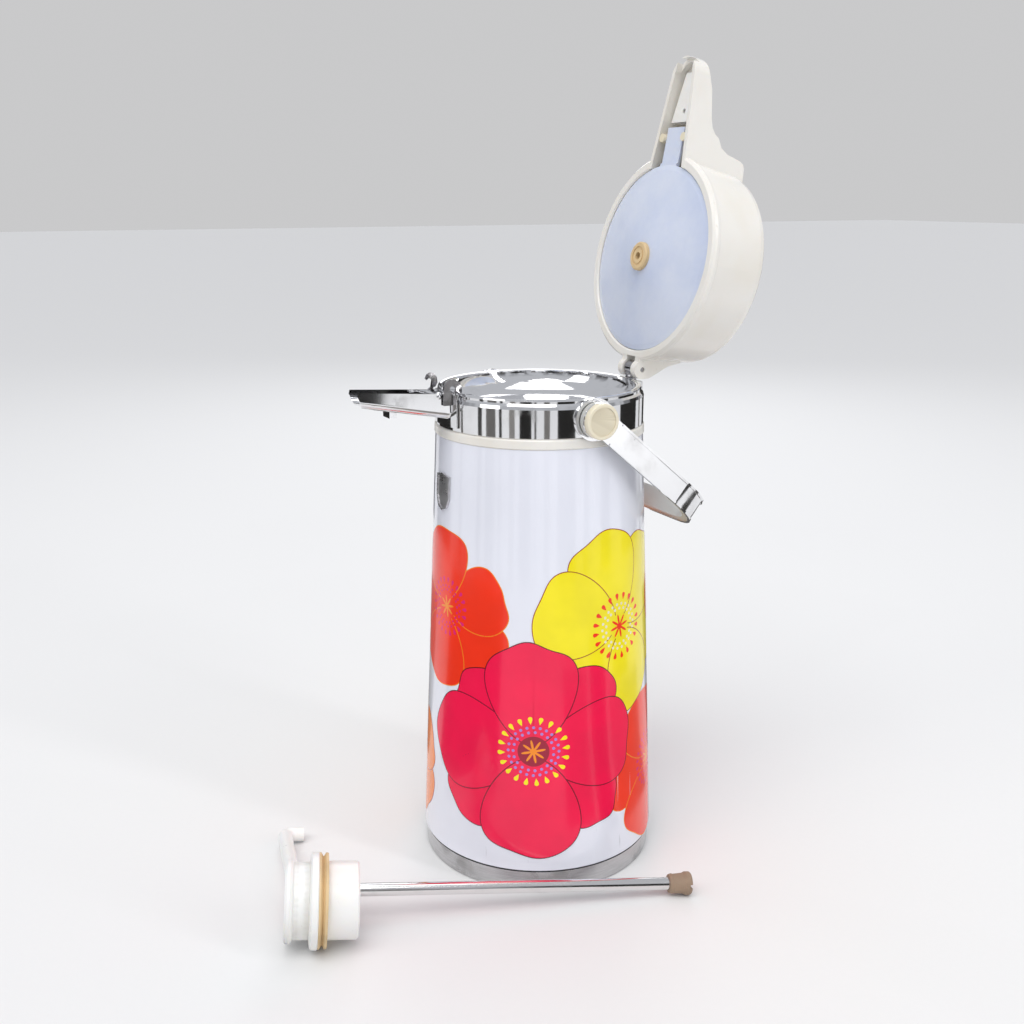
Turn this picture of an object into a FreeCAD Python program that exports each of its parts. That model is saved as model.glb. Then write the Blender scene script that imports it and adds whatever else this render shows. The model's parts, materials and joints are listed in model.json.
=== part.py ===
import FreeCAD, Part
import math
import os

# A pump vacuum jug: tapered steel body with a glass liner, chromed collar with
# a pouring trough, hinged pump lid, bail handle, and a lift-out stopper with a
# dip tube and a delivery pipe, lying beside the jug.
# Z is up, the jug's axis is Z, the trough points to -Y, the lid hinge is at +Y.

V = FreeCAD.Vector
os.makedirs("parts", exist_ok=True)

# ---- driving dimensions, mm -------------------------------------------------
fit_gap = 0.05            # running clearance of a pin in its bore
slide_gap = 0.4           # clearance between moving plastic pieces

base_radius = 73.8
base_height = 13.0
base_wall = 1.6
body_radius_bottom = 75.0
body_radius_top = 64.1
body_bottom_z = 14.0
body_top_z = 276.0
body_wall = 1.0

shoulder_radius = 64.7
shoulder_height = 6.0
collar_radius = 64.0
collar_straight = 17.0
collar_wall = 1.4
rim_radius = 61.9
rim_top_z = 304.8

funnel_lip_radius = 60.2
funnel_floor_z = 287.2
funnel_neck_radius = 27.4
seat_z = 280.0
funnel_wall = 1.2

liner_outer_radius = 60.0
liner_inner_radius = 55.0
liner_neck_radius = 22.9
glass_wall = 1.6
liner_bottom_z = 44.0
liner_shoulder_z = 246.0

spout_tip_y = -121.0
spout_root_y = -51.0
spout_half_root = 11.0
spout_half_tip = 7.6
spout_wall = 1.2
spout_top_root_z = 303.2
spout_top_tip_z = 308.6
spout_low_root_z = 286.6
spout_low_tip_z = 299.6

hinge_y = 69.0
hinge_z = 309.5
hinge_pin_radius = 1.6
knuckle_radius = 5.0
knuckle_half = 4.3
lug_inner_x = 4.7
lug_outer_x = 9.7
lug_radius = 6.0
lid_open_deg = 101.0

lid_bottom_z = 305.2
lid_bead_height = 6.0
lid_bead_radius = 64.2
drum_radius_low = 62.6
drum_radius_high = 60.6
drum_top_z = 348.5
drum_wall = 2.4
beak_tip_y = -122.5
beak_tip_half = 12.0
beak_root_half = 17.6
beak_root_y = -66.0
beak_wall = 2.8
channel_tip_z = 313.6      # channel ceiling over the beak's tip
channel_root_z = 318.0     # and where it meets the drum
channel_step_y = -84.0
disc_radius = 57.4
disc_wall = 1.5
push_radius = 43.0
push_travel = 20.0

handle_pivot_z = 292.8
handle_drop_deg = 40.0
handle_reach = 109.0
handle_corner = 34.0
handle_outer_x = 72.0
handle_width = 15.0
band_wall = 1.2
grip_wall = 4.4
hub_radius = 12.5
stud_radius = 4.0
cap_radius = 10.4
cap_face_x = 75.0

stopper_flange_radius = 27.0
stopper_low_radius = 21.7
stopper_low_height = 17.6
tube_radius = 3.8
tube_length = 193.5
foot_length = 13.7
foot_radius = 7.0
pipe_radius = 4.6
pipe_bore = 3.0
pipe_reach = 116.0
pipe_drop = 12.5
tube_offset = 15.0                # the dip tube runs down the pipe's side of the stopper
stopper_spot = (52.5, -171.5)     # where the flange stands on the floor
stopper_heading = 71.3            # direction from stopper to foot, degrees from +X


# ---- helpers ------------------------------------------------------------------
def write(shape, name):
    """Write one piece to its own file, as a plain solid where it is one."""
    if shape.ShapeType == "Compound" and len(shape.Solids) == 1:
        shape = shape.Solids[0]
    shape.exportStep("parts/" + name + ".step")


def lathe(points):
    """A ring made by turning a closed (radius, height) outline about Z."""
    ring = [V(r, 0, z) for r, z in points]
    face = Part.Face(Part.makePolygon(ring + ring[:1]))
    return face.revolve(V(0, 0, 0), V(0, 0, 1), 360)


def lathe_shell(outer, inner):
    """A turned wall between two smooth (radius, height) curves."""
    edges = []
    ends = []
    for curve in (outer, inner):
        spline = Part.BSplineCurve()
        spline.interpolate([V(r, 0, z) for r, z in curve])
        edges.append(spline.toShape())
        ends.append((V(curve[0][0], 0, curve[0][1]), V(curve[-1][0], 0, curve[-1][1])))
    edges.append(Part.makeLine(ends[0][0], ends[1][0]))
    edges.append(Part.makeLine(ends[0][1], ends[1][1]))
    wire = Part.Wire(Part.__sortEdges__(edges))
    return Part.Face(wire).revolve(V(0, 0, 0), V(0, 0, 1), 360)


def disc(radius, low, high, x=0.0, y=0.0):
    """An upright cylinder between two heights."""
    return Part.makeCylinder(radius, high - low, V(x, y, low))


def bar_x(radius, x0, x1, y, z):
    """A cylinder along X."""
    return Part.makeCylinder(radius, x1 - x0, V(x0, y, z), V(1, 0, 0))


def block(x0, x1, y0, y1, z0, z1):
    """A box from its limits."""
    return Part.makeBox(x1 - x0, y1 - y0, z1 - z0, V(x0, y0, z0))


def side_slab(points, x0, x1):
    """A slab in the (y, z) plane from x0 to x1."""
    ring = [V(x0, y, z) for y, z in points]
    face = Part.Face(Part.makePolygon(ring + ring[:1]))
    return face.extrude(V(x1 - x0, 0, 0))


def turned(shape, centre, axis, angle):
    """A copy of a shape turned about an axis."""
    copy = shape.copy()
    copy.rotate(centre, axis, angle)
    return copy


def raised_lid(shape):
    """Carry a piece drawn on the closed lid up to the open position."""
    return turned(shape, V(0, hinge_y, hinge_z), V(1, 0, 0), -lid_open_deg)


def body_radius(z):
    """The enamelled body's outer radius at a height."""
    share = (z - body_bottom_z) / (body_top_z - body_bottom_z)
    return body_radius_bottom + (body_radius_top - body_radius_bottom) * share


# ---- base ---------------------------------------------------------------------
foot_edge = base_radius - 6.0
base_ring = lathe([
    (foot_edge, 0.0),
    (base_radius - 0.6, 0.0),
    (base_radius, 0.8),
    (base_radius + 0.5, base_height),
    (base_radius + 0.5 - base_wall, base_height),
    (base_radius - base_wall, base_wall),
    (foot_edge, base_wall),
])
write(base_ring, "base_ring")

cover_z = base_wall + 1.2
cover = lathe([
    (0.0, 0.0),
    (18.0, 0.0),
    (19.0, cover_z),
    (foot_edge - 1.5, cover_z),
    (foot_edge + 3.6, cover_z + 1.4),
    (foot_edge + 3.6, cover_z + 4.0),
    (22.0, cover_z + 3.0),
    (20.0, 6.0),
    (0.0, 6.0),
])
for count in range(6):
    angle = math.radians(60 * count)
    rib = block(24, foot_edge - 2, -1.2, 1.2, cover_z - 1.0, cover_z + 0.4)
    cover = cover.fuse(turned(rib, V(0, 0, 0), V(0, 0, 1), math.degrees(angle)))
coin_slot = block(-11, 11, -1.3, 1.3, -1.0, 1.2)
ring_groove = lathe([(13.0, -0.5), (14.2, -0.5), (14.2, 0.6), (13.0, 0.6)])
slot_ends = coin_slot.cut(disc(5.0, -2.0, 3.0))
cover = cover.cut(ring_groove).cut(slot_ends)
write(cover, "base_cover")

seam_band = lathe([
    (base_radius - 1.6, base_height + 0.05),
    (base_radius + 0.2, base_height + 0.05),
    (base_radius + 0.2, body_bottom_z - 0.05),
    (base_radius - 1.6, body_bottom_z - 0.05),
])
write(seam_band, "base_seam_band")

# ---- body ---------------------------------------------------------------------
body = lathe([
    (body_radius_bottom - 2.6, body_bottom_z),
    (body_radius_bottom - 0.5, body_bottom_z),
    (body_radius_bottom, body_bottom_z + 0.6),
    (body_radius_top, body_top_z),
    (body_radius_top - 4.0, body_top_z),
    (body_radius_top - 4.0, body_top_z - body_wall),
    (body_radius_top - body_wall, body_top_z - body_wall),
    (body_radius_bottom - body_wall, body_bottom_z + 1.4),
    (body_radius_bottom - 2.6, body_bottom_z + 1.4),
])
write(body, "body_shell")

badge_half = 8.4
badge_low_z = 232.5
badge_high_z = 255.5
badge_outline = [
    (-badge_half, badge_high_z - 1.5),
    (0.0, badge_high_z),
    (badge_half, badge_high_z - 1.5),
    (badge_half, badge_low_z + 8.0),
    (badge_half * 0.66, badge_low_z + 2.4),
    (0.0, badge_low_z),
    (-badge_half * 0.66, badge_low_z + 2.4),
    (-badge_half, badge_low_z + 8.0),
]


def shield(points, depth):
    """A shield-shaped plate standing off the body's front."""
    ring = [V(x, -80, z) for x, z in points]
    face = Part.Face(Part.makePolygon(ring + ring[:1]))
    plate = face.extrude(V(0, 40, 0))
    low = badge_low_z - 5
    high = badge_high_z + 5
    skin = lathe([
        (body_radius(low), low),
        (body_radius(low) + depth, low),
        (body_radius(high) + depth, high),
        (body_radius(high), high),
    ])
    return plate.common(skin)


def shrunk(points, margin):
    """The same outline drawn in by a margin about its middle."""
    mid = (badge_low_z + badge_high_z) / 2
    half = (badge_high_z - badge_low_z) / 2
    return [(x * (1 - margin / badge_half), mid + (z - mid) * (1 - margin / half)) for x, z in points]


badge = shield(badge_outline, 1.3)
field = shield(shrunk(badge_outline, 1.3), 1.4).cut(shield(shrunk(badge_outline, 1.3), 0.7))
badge = badge.cut(field)
write(badge, "badge_shield")

# ---- shoulder ring, collar and funnel --------------------------------------------
shoulder_top = body_top_z + shoulder_height
shoulder = lathe([
    (shoulder_radius - 9.0, body_top_z),
    (shoulder_radius - 0.8, body_top_z),
    (shoulder_radius, body_top_z + 0.8),
    (shoulder_radius - 0.2, shoulder_top - 0.8),
    (shoulder_radius - 0.8, shoulder_top),
    (shoulder_radius - 9.0, shoulder_top),
])
write(shoulder, "shoulder_ring")

collar_bend_z = shoulder_top + collar_straight
collar_profile = [
    (collar_radius - 3.4, shoulder_top),
    (collar_radius - 0.5, shoulder_top),
    (collar_radius, shoulder_top + 0.6),
    (collar_radius, collar_bend_z),
    (collar_radius - 0.6, collar_bend_z + 1.9),
    (rim_radius + 0.5, collar_bend_z + 3.2),
    (rim_radius + 0.5, rim_top_z - 1.3),
    (rim_radius + 0.1, rim_top_z - 0.4),
    (rim_radius - 0.7, rim_top_z),
    (funnel_lip_radius + 0.05, rim_top_z - 0.3),
    (funnel_lip_radius + 0.05, rim_top_z - 2.2),
    (rim_radius - 0.9, collar_bend_z + 1.4),
    (collar_radius - collar_wall, collar_bend_z - 1.0),
    (collar_radius - collar_wall, shoulder_top + 1.4),
    (collar_radius - 3.4, shoulder_top + 1.4),
]
collar = lathe(collar_profile)


def trough_wire(y, half, low, high, round_r):
    """One cross-section of the pouring trough, open side up."""
    knee = round_r * (1 - math.sqrt(0.5))
    edges = [
        Part.makeLine(V(-half, y, high), V(-half, y, low + round_r)),
        Part.Arc(V(-half, y, low + round_r), V(-half + knee, y, low + knee), V(-half + round_r, y, low)).toShape(),
        Part.makeLine(V(-half + round_r, y, low), V(half - round_r, y, low)),
        Part.Arc(V(half - round_r, y, low), V(half - knee, y, low + knee), V(half, y, low + round_r)).toShape(),
        Part.makeLine(V(half, y, low + round_r), V(half, y, high)),
        Part.makeLine(V(half, y, high), V(-half, y, high)),
    ]
    return Part.Wire(edges)


def trough_body(shrink, lift, over, root_y, tip_y):
    """The trough's tapered block, drawn in by shrink and raised by lift."""
    wires = []
    for y in (root_y, tip_y):
        share = (y - spout_root_y) / (spout_tip_y - spout_root_y)
        half = spout_half_root + (spout_half_tip - spout_half_root) * share - shrink
        low = spout_low_root_z + (spout_low_tip_z - spout_low_root_z) * share + lift
        high = spout_top_root_z + (spout_top_tip_z - spout_top_root_z) * share + over
        wires.append(trough_wire(y, half, low, high, 4.5 - shrink))
    return Part.makeLoft(wires, True, True)


trough_outer = trough_body(0.0, 0.0, 0.0, spout_root_y, spout_tip_y)
trough_inner = trough_body(spout_wall, spout_wall, 3.0, spout_root_y + 4, spout_tip_y - 4)
trough = trough_outer.cut(trough_inner)
outlet = block(-5.4, 5.4, spout_tip_y - 1, spout_tip_y + 11.0, 296, 305.5)
trough = trough.cut(outlet)
lip_slope = side_slab([
    (spout_tip_y - 1, 312),
    (spout_tip_y - 1, 299),
    (spout_tip_y + 3.2, 299),
    (spout_tip_y + 0.2, 306),
    (spout_tip_y + 1.6, 312),
], -20, 20)
trough = trough.cut(lip_slope)
drip_ridge = block(-5.0, 5.0, -101.0, -96.5, 292.0, 297.2).cut(trough_outer)
trough = trough.fuse(drip_ridge)
shield_skin = disc(collar_radius + 1.4, 284.6, 304.2).cut(disc(collar_radius, 283, 306))
root_flange = shield_skin.common(block(-15.5, 15.5, -70, -55, 284, 306))
root_flange = root_flange.cut(trough_outer)
spout = trough.fuse(root_flange)
spout_gate = trough_body(-0.05, -0.05, 8.0, spout_root_y, -66.0)
collar = collar.cut(spout_gate)
write(collar, "collar")

bowl = [
    (funnel_lip_radius, rim_top_z - 0.4),
    (58.6, 299.6),
    (54.0, 294.6),
    (46.0, 290.4),
    (36.0, 288.2),
    (funnel_neck_radius + 2.0, funnel_floor_z),
]
bowl_under = [(r - funnel_wall * 0.15, z - funnel_wall) for r, z in bowl]
bowl_under[0] = (funnel_lip_radius - funnel_wall, rim_top_z - 0.4)
bowl_under[1] = (58.6 - 0.9, 299.6 - 0.9)
funnel = lathe_shell(bowl_under, [(r + 0.0, z) for r, z in bowl])
neck_tube = lathe([
    (funnel_neck_radius, seat_z),
    (funnel_neck_radius + funnel_wall, seat_z),
    (funnel_neck_radius + 2.2, funnel_floor_z - 1.0),
    (funnel_neck_radius + 2.0, funnel_floor_z),
    (funnel_neck_radius + 0.8, funnel_floor_z - 0.3),
    (funnel_neck_radius, funnel_floor_z - 1.6),
])
funnel = funnel.fuse(neck_tube).cut(spout_gate)
write(funnel, "mouth_funnel")
write(spout, "pour_trough")

# ---- ears, roller peg and latch at the trough's root ------------------------------
ear_y = -64.2
ear_top_z = 313.0
ear_half = 5.8
ear = block(spout_half_root, spout_half_root + 1.3, ear_y - ear_half, ear_y + ear_half, 298.0, ear_top_z - ear_half)
ear = ear.fuse(bar_x(ear_half, spout_half_root, spout_half_root + 1.3, ear_y, ear_top_z - ear_half))
ear_hole = bar_x(2.0, spout_half_root - 1, spout_half_root + 3, ear_y, ear_top_z - ear_half)
ear = ear.cut(ear_hole).cut(disc(collar_radius + 1.4, 290, 304.8))
write(ear, "trough_ear")

peg_y = ear_y - 7.6
peg_z = 303.2
peg = bar_x(1.5, -9.4, 9.4, peg_y, peg_z)
peg = peg.fuse(Part.makeSphere(2.6, V(8.0, peg_y, peg_z))).cut(trough_outer.cut(trough_inner))
peg = max(peg.Solids, key=lambda s: s.Volume)
write(peg, "trough_peg")

latch_y = -68.2
latch_z = 300.5
latch_x0 = -spout_half_root - 1.9
latch_x1 = -spout_half_root - 0.4
latch_pin = bar_x(1.4, latch_x0 - 0.9, -spout_half_root + 0.6, latch_y, latch_z)
latch_pin = latch_pin.fuse(bar_x(2.4, latch_x0 - 1.4, latch_x0 - 0.4, latch_y, latch_z))
latch_pin = latch_pin.cut(trough_inner.fuse(trough))
latch_pin = max(latch_pin.Solids, key=lambda s: s.Volume)
write(latch_pin, "latch_pin")
hook = side_slab([
    (latch_y - 3.0, latch_z - 3.2),
    (latch_y + 2.9, latch_z - 3.2),
    (latch_y + 3.1, latch_z + 4.4),
    (latch_y + 5.0, latch_z + 7.6),
    (latch_y + 4.6, latch_z + 11.0),
    (latch_y + 3.0, latch_z + 13.2),
    (latch_y + 0.6, latch_z + 13.8),
    (latch_y - 1.6, latch_z + 12.8),
    (latch_y - 2.8, latch_z + 10.4),
    (latch_y - 2.2, latch_z + 9.4),
    (latch_y - 0.4, latch_z + 10.8),
    (latch_y + 1.6, latch_z + 9.4),
    (latch_y + 0.8, latch_z + 5.2),
    (latch_y - 2.4, latch_z + 3.0),
], latch_x0, latch_x1)
hook = hook.cut(bar_x(1.4 + fit_gap, latch_x0 - 1, latch_x1 + 1, latch_y, latch_z))
# The hook leans back over the rim, so its stem is relieved there.
hook = hook.cut(disc(collar_radius + 2.9, 290, 305.6))
write(hook, "latch_hook")

# ---- hinge on the collar ------------------------------------------------------------
bracket = block(-12, 12, 55, collar_radius + 4.0, shoulder_top + 0.3, 302.6)
bracket = bracket.cut(disc(collar_radius + 0.02, 270, 310))
write(bracket, "hinge_bracket")
knuckle = bar_x(knuckle_radius, -knuckle_half, knuckle_half, hinge_y, hinge_z)
knuckle = knuckle.fuse(block(-knuckle_half, knuckle_half, hinge_y - 3.6, collar_radius + 4.0, 302.6, hinge_z))
knuckle = knuckle.cut(bar_x(hinge_pin_radius, -10, 10, hinge_y, hinge_z))
write(knuckle, "hinge_knuckle")
pin_half = lug_outer_x - 1.0
hinge_pin = bar_x(hinge_pin_radius, -pin_half, pin_half, hinge_y, hinge_z)
write(hinge_pin, "hinge_pin")

# ---- glass liner and its supports ------------------------------------------------------
neck_top_z = seat_z - 3.0
glass_out = lathe([
    (0.0, 36.0),
    (30.0, 36.0),
    (50.0, 41.0),
    (liner_outer_radius, 56.0),
    (liner_outer_radius, liner_shoulder_z),
    (52.0, 260.0),
    (34.0, 266.0),
    (liner_neck_radius + glass_wall + 2.2, 268.0),
    (liner_neck_radius + glass_wall + 2.2, neck_top_z),
    (liner_neck_radius + glass_wall + 0.1, neck_top_z),
    (liner_neck_radius + glass_wall + 0.1, 266.4),
    (33.0, 264.4),
    (51.0, 258.4),
    (liner_outer_radius - glass_wall, liner_shoulder_z - 0.6),
    (liner_outer_radius - glass_wall, 56.8),
    (49.4, 42.7),
    (29.8, 37.7),
    (0.0, 37.7),
])
write(glass_out, "liner_outer_glass")
glass_in = lathe([
    (0.0, liner_bottom_z),
    (30.0, liner_bottom_z),
    (46.0, 48.0),
    (liner_inner_radius, 60.0),
    (liner_inner_radius, 240.0),
    (48.0, 252.0),
    (30.0, 259.0),
    (liner_neck_radius + glass_wall, 264.0),
    (liner_neck_radius + glass_wall, neck_top_z),
    (liner_neck_radius, neck_top_z),
    (liner_neck_radius, 263.0),
    (29.4, 257.4),
    (47.2, 250.6),
    (liner_inner_radius - glass_wall, 239.4),
    (liner_inner_radius - glass_wall, 60.6),
    (45.2, 49.5),
    (29.8, liner_bottom_z + glass_wall),
    (0.0, liner_bottom_z + glass_wall),
])
write(glass_in, "liner_inner_glass")
cushion = lathe([
    (12.0, cover_z + 5.0),
    (34.0, cover_z + 5.0),
    (44.0, 30.0),
    (48.0, 39.0),
    (44.0, 39.2),
    (30.5, 35.8),
    (12.0, 35.8),
])
write(cushion, "liner_cushion")
neck_packing = lathe([
    (liner_neck_radius - 0.3, neck_top_z + 0.05),
    (funnel_neck_radius + 3.4, neck_top_z + 0.05),
    (funnel_neck_radius + 3.4, seat_z + 2.4),
    (funnel_neck_radius + funnel_wall + 0.5, seat_z + 2.4),
    (funnel_neck_radius + funnel_wall + 0.1, seat_z - 0.05),
    (liner_neck_radius - 0.3, seat_z - 0.05),
])
write(neck_packing, "neck_packing")

# ---- bail handle ---------------------------------------------------------------------


def bail_outline(half_x, reach, corner, width):
    """A U-shaped slab with its open end on the pivot line, width along Z."""
    bend = corner * (1 - math.sqrt(0.5))
    edges = [
        Part.makeLine(V(half_x, 0, 0), V(half_x, reach - corner, 0)),
        Part.Arc(V(half_x, reach - corner, 0), V(half_x - bend, reach - bend, 0), V(half_x - corner, reach, 0)).toShape(),
        Part.makeLine(V(half_x - corner, reach, 0), V(-half_x + corner, reach, 0)),
        Part.Arc(V(-half_x + corner, reach, 0), V(-half_x + bend, reach - bend, 0), V(-half_x, reach - corner, 0)).toShape(),
        Part.makeLine(V(-half_x, reach - corner, 0), V(-half_x, 0, 0)),
        Part.makeLine(V(-half_x, 0, 0), V(half_x, 0, 0)),
    ]
    slab = Part.Face(Part.Wire(edges)).extrude(V(0, 0, width))
    slab.translate(V(0, 0, -width / 2))
    return slab


def bail_ring(outset, thickness, width):
    """One layer of the bail: outset from its inner chrome face."""
    outer = bail_outline(handle_outer_x + outset, handle_reach + outset, handle_corner + outset, width)
    inset = outset - thickness
    inner = bail_outline(handle_outer_x + inset, handle_reach + inset, handle_corner + inset, width + 2)
    inner = inner.fuse(block(-handle_outer_x - inset, handle_outer_x + inset, -20, 1, -20, 20))
    return outer.cut(inner)


def lowered(shape):
    """Put a piece drawn flat along +Y at the handle's resting angle."""
    moved = turned(shape, V(0, 0, 0), V(1, 0, 0), -handle_drop_deg)
    moved.translate(V(0, 0, handle_pivot_z))
    return moved


band = bail_ring(0.0, band_wall, handle_width)
edge_strip = bail_ring(0.6, 0.7, handle_width)
edge_strip = edge_strip.cut(block(-90, 90, 60 - 60, 120, -handle_width / 2 + 1.3, handle_width / 2 - 1.3))
edge_strip = edge_strip.cut(block(-90, 90, -5, 13.5, -20, 20))
band = band.fuse(edge_strip)
grip = bail_ring(-band_wall, grip_wall, handle_width - 1.4)
grip_inner_x = handle_outer_x - band_wall - grip_wall
eye_radius = cap_radius + 0.6
for side in (-1, 1):
    x_face = side * handle_outer_x
    x_mid = side * (handle_outer_x - band_wall)
    x_in = side * grip_inner_x
    band = band.fuse(bar_x(eye_radius, min(x_face, x_mid), max(x_face, x_mid), 0, 0))
    grip = grip.fuse(bar_x(eye_radius - 0.7, min(x_in, x_mid), max(x_in, x_mid), 0, 0))
bore = bar_x(stud_radius + fit_gap, -100, 100, 0, 0)
band = band.cut(bore)
grip = grip.cut(bore)
write(lowered(band), "handle_band")
write(lowered(grip), "handle_grip")

for side, word in ((-1, "left"), (1, "right")):
    hub = Part.makeCylinder(hub_radius, 4.6, V(side * 61.0, 0, handle_pivot_z), V(side, 0, 0))
    step_x = grip_inner_x - 0.3
    hub = hub.fuse(Part.makeCylinder(9.6, step_x - 62.0, V(side * 62.0, 0, handle_pivot_z), V(side, 0, 0)))
    hub = hub.cut(disc(collar_radius, 270, 310)).cut(disc(shoulder_radius + 0.05, 270, shoulder_top + 0.05))
    hub = max(hub.Solids, key=lambda s: s.Volume)
    write(hub, "handle_hub_" + word)
    stud_length = handle_outer_x - 0.1 - step_x
    stud = Part.makeCylinder(stud_radius, stud_length, V(side * step_x, 0, handle_pivot_z), V(side, 0, 0))
    write(stud, "handle_stud_" + word)
    cap = Part.makeCylinder(cap_radius, cap_face_x - handle_outer_x, V(side * handle_outer_x, 0, 0), V(side, 0, 0))
    rim_edges = [e for e in cap.Edges if abs(e.BoundBox.XMin - side * cap_face_x) < 0.01 and abs(e.BoundBox.XMax - side * cap_face_x) < 0.01]
    cap = cap.makeFillet(0.9, rim_edges)
    dish = Part.makeCylinder(cap_radius - 2.0, 2.0, V(side * (cap_face_x - 0.7), 0, 0), V(side, 0, 0))
    cap = cap.cut(dish)
    write(lowered(cap), "handle_cap_" + word)

# ---- lid, drawn closed and then raised ----------------------------------------------------
bead_top = lid_bottom_z + lid_bead_height
bead = lathe([
    (disc_radius + 0.4, lid_bottom_z + 0.8),
    (disc_radius + 1.2, lid_bottom_z),
    (lid_bead_radius - 1.8, lid_bottom_z),
    (lid_bead_radius - 0.4, lid_bottom_z + 1.2),
    (lid_bead_radius, lid_bottom_z + 3.0),
    (lid_bead_radius - 0.4, bead_top - 1.0),
    (lid_bead_radius - 1.6, bead_top),
    (disc_radius + 0.4, bead_top),
])


def beak_plan(inset, low, high, root_y):
    """The beak's plan outline, straight tapered sides and a round tip."""
    tip = beak_tip_half - inset
    centre_y = beak_tip_y + beak_tip_half
    root = beak_root_half - inset
    flank = root + (root - tip) * (root_y - beak_root_y) / (beak_root_y - centre_y)
    edges = [
        Part.makeLine(V(flank, root_y, low), V(tip, centre_y, low)),
        Part.Arc(V(tip, centre_y, low), V(0, centre_y - tip, low), V(-tip, centre_y, low)).toShape(),
        Part.makeLine(V(-tip, centre_y, low), V(-flank, root_y, low)),
        Part.makeLine(V(-flank, root_y, low), V(flank, root_y, low)),
    ]
    return Part.Face(Part.Wire(edges)).extrude(V(0, 0, high - low))


beak_side = side_slab([
    (beak_tip_y - 1, lid_bottom_z),
    (beak_tip_y - 1, 313.6),
    (beak_tip_y + 3.0, 315.6),
    (beak_tip_y + 9.0, 316.8),
    (-105.0, 319.6),
    (-88.0, 321.8),
    (-83.0, 323.2),
    (-79.6, 325.8),
    (-77.6, 329.0),
    (-72.4, 331.8),
    (-69.6, 337.0),
    (-67.6, 347.2),
    (-66.2, 349.8),
    (-63.6, 351.0),
    (-49.0, 351.0),
    (-46.0, 349.0),
    (-46.0, lid_bottom_z),
], -30, 30)
drum_solid = lathe([
    (0.0, bead_top),
    (drum_radius_low, bead_top),
    (drum_radius_high, drum_top_z - 5.0),
    (drum_radius_high - 0.8, drum_top_z - 2.0),
    (drum_radius_high - 2.6, drum_top_z - 0.3),
    (drum_radius_high - 4.4, drum_top_z),
    (0.0, drum_top_z),
])
drum_hollow = lathe([
    (0.0, bead_top - 1),
    (drum_radius_low - drum_wall, bead_top - 1),
    (drum_radius_high - drum_wall, drum_top_z - 5.0),
    (drum_radius_high - drum_wall - 2.5, drum_top_z - drum_wall),
    (0.0, drum_top_z - drum_wall),
])
beak_solid = beak_plan(0.0, lid_bottom_z, 352.0, -44.0).common(beak_side)
beak_front = beak_solid.cut(disc(57.9, 300, bead_top))
lid_shell = drum_solid.fuse(beak_front)
lid_shell = lid_shell.cut(drum_hollow)
channel = beak_plan(beak_wall, lid_bottom_z - 1, channel_tip_z, -52.0)
channel_root = beak_plan(beak_wall, lid_bottom_z - 1, channel_root_z, -52.0)
channel_root = channel_root.common(block(-30, 30, channel_step_y, -50, 300, 330))
lid_shell = lid_shell.cut(channel).cut(channel_root)
button_hole = disc(push_radius + slide_gap, drum_top_z - 10, drum_top_z + 10)
lid_shell = lid_shell.cut(button_hole)
guide_height = push_travel + 2.0
guide = lathe([
    (push_radius + slide_gap, drum_top_z - guide_height),
    (push_radius + slide_gap + 1.6, drum_top_z - guide_height),
    (push_radius + slide_gap + 1.6, drum_top_z - 1.0),
    (push_radius + slide_gap, drum_top_z - 1.0),
])
lid_shell = lid_shell.fuse(guide)
lug_back_y = 61.4
lug_profile = [
    (hinge_y + 4.6, hinge_z - 3.9),
    (hinge_y + 6.0, hinge_z + 0.5),
    (hinge_y + 4.6, hinge_z + 6.0),
    (hinge_y - 4.0, hinge_z + 18.0),
    (60.8, hinge_z + 28.0),
    (59.0, hinge_z + 28.0),
    (59.0, bead_top),
    (lug_back_y, bead_top),
    (lug_back_y, hinge_z - 3.9),
]
for side in (-1, 1):
    x0 = min(side * lug_inner_x, side * lug_outer_x)
    x1 = max(side * lug_inner_x, side * lug_outer_x)
    lug = side_slab(lug_profile, x0, x1).fuse(bar_x(lug_radius, x0, x1, hinge_y, hinge_z))
    lug = lug.cut(disc(drum_radius_high - drum_wall + 1.0, 300, 345))
    lid_shell = lid_shell.fuse(lug)
lid_shell = lid_shell.cut(bar_x(hinge_pin_radius + fit_gap, -12, 12, hinge_y, hinge_z))
notch = bar_x(knuckle_radius + 0.7, -lug_inner_x, lug_inner_x, hinge_y, hinge_z)
lid_shell = lid_shell.cut(notch)

lock_low_z = 328.6
lock_front_y = -78.4
lock_back_y = -72.6
lock_half = 6.0
lock_travel = 6.0
lock_pocket = block(-lock_half - slide_gap - lock_travel, lock_half + slide_gap, lock_front_y - 0.4,
                    lock_back_y + 0.4, lock_low_z - 4.0, 340)
lid_shell = lid_shell.cut(lock_pocket)
# The beak's front wall is thinned inside, so that it shuts over the trough's tip.
tip_recess = block(-8.3, 8.3, spout_tip_y - 0.6, spout_tip_y + 13.0, 300, 309.4)
lid_shell = lid_shell.cut(tip_recess)
lid_shell = max(lid_shell.Solids, key=lambda s: s.Volume)
write(raised_lid(lid_shell), "lid_shell")

lug_room = block(-lug_outer_x, lug_outer_x, lug_back_y, 70, 300, 320)
bead = bead.cut(beak_plan(0.0, 300, 320, -40.0)).cut(lug_room).cut(notch)
bead = max(bead.Solids, key=lambda s: s.Volume)
write(raised_lid(bead), "lid_bead")

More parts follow.
